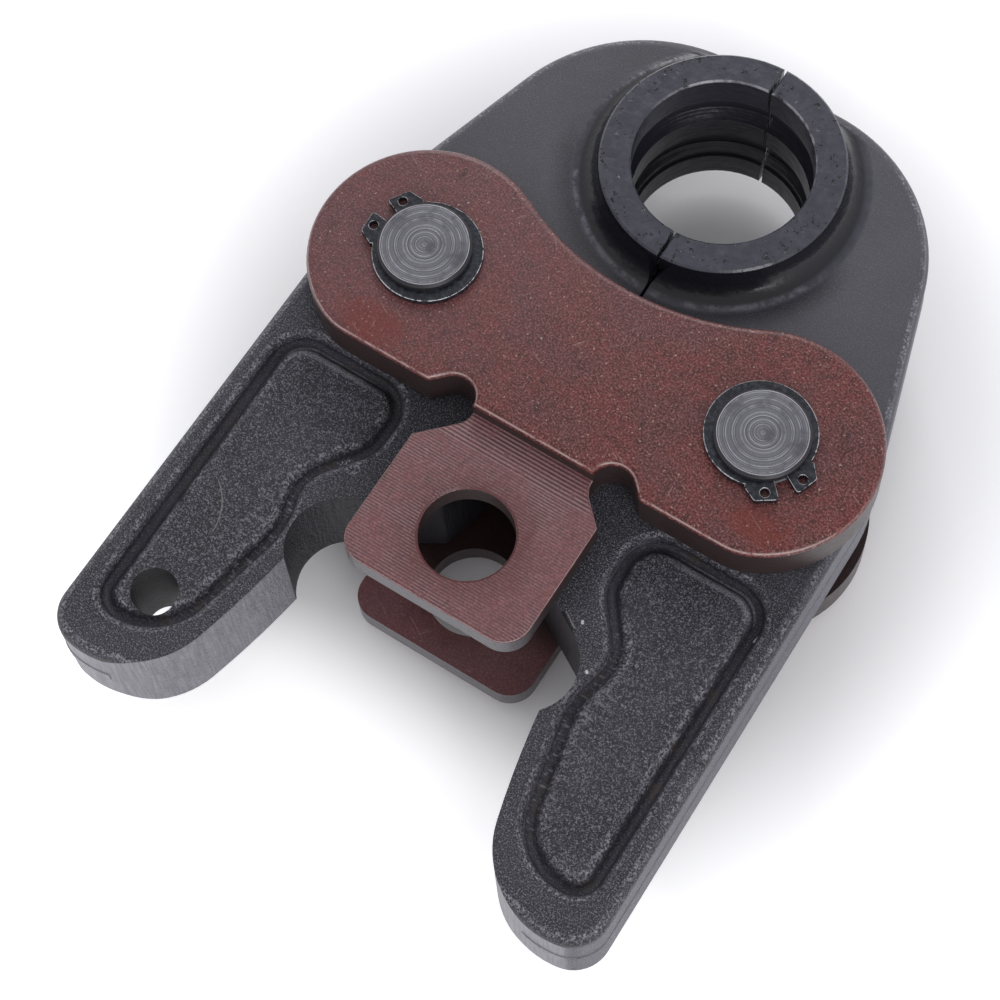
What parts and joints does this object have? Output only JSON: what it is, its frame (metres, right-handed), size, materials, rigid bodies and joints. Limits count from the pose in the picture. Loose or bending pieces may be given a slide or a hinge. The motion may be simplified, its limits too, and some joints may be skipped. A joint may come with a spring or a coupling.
{
  "type": "press fitting tool jaw",
  "caption": "Press jaw: hinged arms between side plates close a split, grooved ring round a pipe fitting when rollers spread them, and a spring keeps them shut.",
  "frame": {"origin": "centre of the tool pin bore, halfway between the two side plates", "axes": "+Y towards the press ring at the nose, +X towards the right arm, +Z out of the upper side plate"},
  "size_m": [0.0922, 0.132, 0.0384],
  "materials": {
    "jaw_black": "black, fine cast grain, satin to oily gloss",
    "plate_brown": "mottled red-brown, satin, bright worn edges",
    "pin_steel": "turned, dull",
    "clip_blued": "blue-black, glossy",
    "spring_steel": "drawn wire, oiled"
  },
  "bodies": {
    "plate_frame": {"upper_side_plate": "plate_brown", "lower_side_plate": "plate_brown", "left_pivot_pin": "pin_steel", "right_pivot_pin": "pin_steel", "upper_left_retaining_ring": "clip_blued", "upper_right_retaining_ring": "clip_blued", "lower_left_retaining_ring": "clip_blued", "lower_right_retaining_ring": "clip_blued", "closing_spring": "spring_steel"},
    "left_jaw": {"left_jaw": "jaw_black"},
    "right_jaw": {"right_jaw": "jaw_black"}
  },
  "joints": [
    {"name": "left_jaw_pivot", "type": "hinge", "parent": "plate_frame", "child": "left_jaw", "pos_m": [-0.0285, 0.0332, 0], "axis": [0, 0, 1], "range_deg": [0, 15], "stiffness_Nm_per_rad": 2, "springref_deg": -20.05, "deforming": ["closing_spring"]},
    {"name": "right_jaw_pivot", "type": "hinge", "parent": "plate_frame", "child": "right_jaw", "pos_m": [0.0285, 0.0332, 0], "axis": [0, 0, -1], "range_deg": [0, 15], "stiffness_Nm_per_rad": 2, "springref_deg": -20.05, "deforming": ["closing_spring"]}
  ]
}
